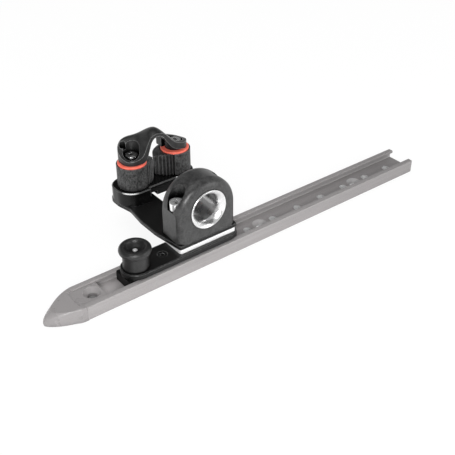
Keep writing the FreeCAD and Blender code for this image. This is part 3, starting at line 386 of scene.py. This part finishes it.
def bright_metal(name, level, roughness, swirl_mm, stretch=(1.0, 1.0, 1.0), metallic=1.0,
                 recess_mm=None, recess_floor=0.02, front_highlight_level=None, marks_strength=0.2):
    """Bare bright metal with fine marks that run along one direction. Faces that look
    across the track, such as the bush's mouth, can carry a painted highlight at a level of their
    own, and recesses can get painted shade."""
    made, tree = new_material(name)
    marks = noise(tree, swirl_mm, 3.0, 0.6, stretch)
    slow = noise(tree, 5.0, 2.0)
    base = blend_colours(tree, noise_range(tree, marks), grey(level * 0.93), grey(level * 1.05))
    if front_highlight_level is not None:
        # Painted highlight on faces that look towards the front.
        painted_front_highlight = towards_share(tree, plain_normal(tree), (0.0, -1.0, 0.0), 0.30, 0.65)
        base = blend_colours(tree, painted_front_highlight, base, grey(front_highlight_level))
    if recess_mm is not None:
        # Painted shade in recesses, such as screw sockets.
        base = with_painted_shade(tree, base, openness(tree, recess_mm, recess_floor, 0.45))
    rough = noise_range(tree, slow, roughness * 0.8, roughness * 1.3)
    skin = relief(tree, marks, 0.008, marks_strength, soft_normal(tree, 0.2))
    return finish_material(made, tree, Base_Color=base, Metallic=metallic, Roughness=rough,
                           Normal=skin)


def ball_plastic():
    """Pale natural plastic, for the balls that the cams turn on."""
    made, tree = new_material("ball_plastic")
    slow = noise(tree, 1.0, 2.0)
    base = blend_colours(tree, slow, (0.72, 0.70, 0.64, 1.0), (0.84, 0.83, 0.78, 1.0))
    return finish_material(made, tree, Base_Color=base, Roughness=0.25)


# Recess settings below set painted shade; edge, fillet and front highlight levels set painted
# highlights.
MATERIALS = {
    "track_alloy": anodised_track(),
    "cap_plastic": moulded_plastic(
        "cap_plastic", TRACK_TONE * 0.71, TRACK_TONE * 0.78, 0.27, grain_mm=0.9, depth_mm=0.03,
        warm=TRACK_WARM, edge_highlight_tone=TRACK_TONE * 1.4, mottle_mm=14.0, recess_floor=0.8),
    "black_plastic": moulded_plastic(
        "black_plastic", 0.016, 0.052, 0.36, grain_mm=1.1, depth_mm=0.06, recess_mm=10.0,
        recess_floor=0.0, recess_closed=0.6, dull_recess=True),
    "black_alloy": black_anodised(),
    "cam_composite": carbon_filled(),
    "ring_plastic": red_washer(),
    "polished_steel": bright_metal(
        "polished_steel", 0.98, 0.18, 0.5, metallic=0.75, recess_mm=2.0),
    "bright_alloy": bright_metal(
        "bright_alloy", 0.97, 0.40, 0.2, stretch=(0.05, 1.0, 1.0), metallic=0.35),
    "spring_steel": bright_metal("spring_steel", 0.55, 0.30, 0.3),
    "ball_plastic": ball_plastic(),
}

CLEAT_SCREW = bright_metal(
    "cleat_screw_steel", 0.90, 0.22, 0.5, recess_mm=3.0, recess_floor=0.25)

# Some pieces differ from others of their slot, such as a glossy cleat base
SPECIAL = {
    "cleat_base": moulded_plastic(
        "cleat_base_gloss", 0.002, 0.005, 0.10, grain_mm=0.5, depth_mm=0.006, edge_highlight_tone=0.20,
        edge_mm=0.5, specular=0.25, fillet_highlight_tone=0.80),
    "cleat_bridge": moulded_plastic(
        "bridge_dull", 0.011, 0.027, 0.40, grain_mm=0.8, depth_mm=0.05, edge_highlight_tone=0.30,
        edge_mm=0.6, specular=0.4, recess_mm=7.0, recess_floor=0.02, recess_closed=0.45,
        dull_recess=True),
    "slider": moulded_plastic(
        "slider_dull", 0.003, 0.005, 0.45, grain_mm=0.4, depth_mm=0.02, specular=0.15),
    "plunger_knob": moulded_plastic(
        "knob_satin", 0.009, 0.018, 0.40, grain_mm=0.7, depth_mm=0.02, recess_mm=9.0,
        recess_floor=0.02, recess_closed=0.5, dull_recess=True),
    "plate_screws": moulded_plastic(
        "screw_black", 0.004, 0.008, 0.3, grain_mm=0.4, depth_mm=0.01, edge_highlight_tone=0.60,
        recess_mm=2.5, recess_floor=0.01, recess_closed=0.5),
    "stop_pin": bright_metal("pin_steel", 0.90, 0.25, 0.5, metallic=0.6),
    "bore_bush": bright_metal(
        "bush_steel", 0.48, 0.27, 1.5, metallic=0.95, front_highlight_level=0.80, marks_strength=0.04),
    "cleat_screw_left": CLEAT_SCREW,
    "cleat_screw_right": CLEAT_SCREW,
}


def dress_nodes():
    """Gives each CAD node the material of its slot, or its own."""
    for row in frame["record"]["subparts"]:
        piece = frame["nodes"][row["node"]]
        made = SPECIAL.get(row["node"], MATERIALS[row["material_slot"]])
        piece.data.materials.clear()
        piece.data.materials.append(made)


def make_spring():
    """A copy of the plunger's spring that stands for it. It hangs from the plunger's body with a
    mesh of its own, and the solid spring is hidden."""
    solid = frame["nodes"]["plunger_spring"]
    coil = solid.copy()
    coil.data = solid.data.copy()
    coil.name = "plunger_spring_coil"
    coil.parent = None
    bpy.context.scene.collection.objects.link(coil)
    coil.matrix_world = solid.matrix_world.copy()
    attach(coil, "plunger")
    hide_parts("plunger_spring")
    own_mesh(coil)


# Stage: floor, surroundings, lamps and camera

def make_floor():
    mesh = bpy.data.meshes.new("floor")
    corners = [(-FLOOR_HALF, -FLOOR_HALF, 0), (FLOOR_HALF, -FLOOR_HALF, 0),
               (FLOOR_HALF, FLOOR_HALF, 0), (-FLOOR_HALF, FLOOR_HALF, 0)]
    mesh.from_pydata(corners, [], [(0, 1, 2, 3)])
    floor = bpy.data.objects.new("floor", mesh)
    floor.location.z = -FLOOR_DROP
    bpy.context.scene.collection.objects.link(floor)
    made, tree = new_material("floor_white")
    matte = add(tree, "BsdfDiffuse", {"Color": grey(FLOOR_TONE)})
    paper = add(tree, "Emission", {"Color": grey(1.0), "Strength": 1.0})
    camera_ray = add(tree, "LightPath").outputs["Is Camera Ray"]
    both = mix_shaders(tree, times(tree, camera_ray, PAPER_SHARE), matte, paper)
    output = add(tree, "OutputMaterial")
    tree.links.new(both.outputs[0], output.inputs["Surface"])
    mesh.materials.append(made)


def make_world():
    """White to the camera. To gloss and as light it is white low down and darker overhead, and
    gloss also sees a dark flag behind the camera and one at the left."""
    world = bpy.data.worlds.new("studio")
    bpy.context.scene.world = world
    world.use_nodes = True
    tree = world.node_tree
    tree.nodes.clear()
    path = add(tree, "LightPath").outputs
    way = add(tree, "TexCoord").outputs["Generated"]
    height = add(tree, "SeparateXYZ", {"Vector": way}).outputs["Z"]
    overhead = spread(tree, height, OVERHEAD_FROM, OVERHEAD_TO)
    behind_camera = towards_share(tree, way, (-0.26, -0.97, 0.0), 0.87, 0.94)
    at_left = towards_share(tree, way, (-0.97, 0.26, 0.0), 0.80, 0.90)
    flags = math_node(tree, "MAXIMUM", behind_camera, at_left)
    seen = blend_colours(tree, flags, grey(1.0), grey(FLAG_GREY))
    seen = blend_colours(tree, overhead, seen, grey(OVERHEAD_GREY))
    lit = blend_colours(tree, overhead, grey(LOW_LIGHT), grey(HIGH_LIGHT))
    light = add(tree, "Background", {"Color": lit, "Strength": WORLD_STRENGTH})
    gloss = add(tree, "Background", {"Color": seen, "Strength": 1.0})
    white = add(tree, "Background", {"Color": grey(1.0), "Strength": 1.0})
    glossy_ray = math_node(tree, "ADD", path["Is Glossy Ray"], path["Is Transmission Ray"], True)
    indirect = mix_shaders(tree, glossy_ray, light, gloss)
    whole = mix_shaders(tree, path["Is Camera Ray"], indirect, white)
    output = add(tree, "OutputWorld")
    tree.links.new(whole.outputs[0], output.inputs["Surface"])


def facing(place, target):
    """The turn that makes a lamp or camera at a place look at a target."""
    return (target - place).to_track_quat("-Z", "Y").to_euler()


def make_lights():
    for name, (place, wide, tall, power) in LAMPS.items():
        lamp = bpy.data.lights.new(name, "AREA")
        lamp.shape = "RECTANGLE"
        lamp.size = wide
        lamp.size_y = tall
        lamp.energy = power
        piece = bpy.data.objects.new(name, lamp)
        piece.location = place
        piece.rotation_euler = facing(Vector(place), LAMP_TARGET)
        bpy.context.scene.collection.objects.link(piece)


def make_camera():
    lens = bpy.data.cameras.new("camera")
    lens.sensor_fit = "HORIZONTAL"
    lens.sensor_width = SENSOR_WIDTH
    lens.lens = LENS
    lens.clip_start = CLIP_NEAR
    lens.clip_end = CLIP_FAR
    camera = bpy.data.objects.new("camera", lens)
    camera.location = CAMERA_AT
    camera.rotation_euler = facing(CAMERA_AT, CAMERA_TARGET)
    bpy.context.scene.collection.objects.link(camera)
    bpy.context.scene.camera = camera


dress_nodes()
make_spring()
make_floor()
make_world()
make_lights()
make_camera()
bpy.context.scene.view_settings.view_transform = "Standard"
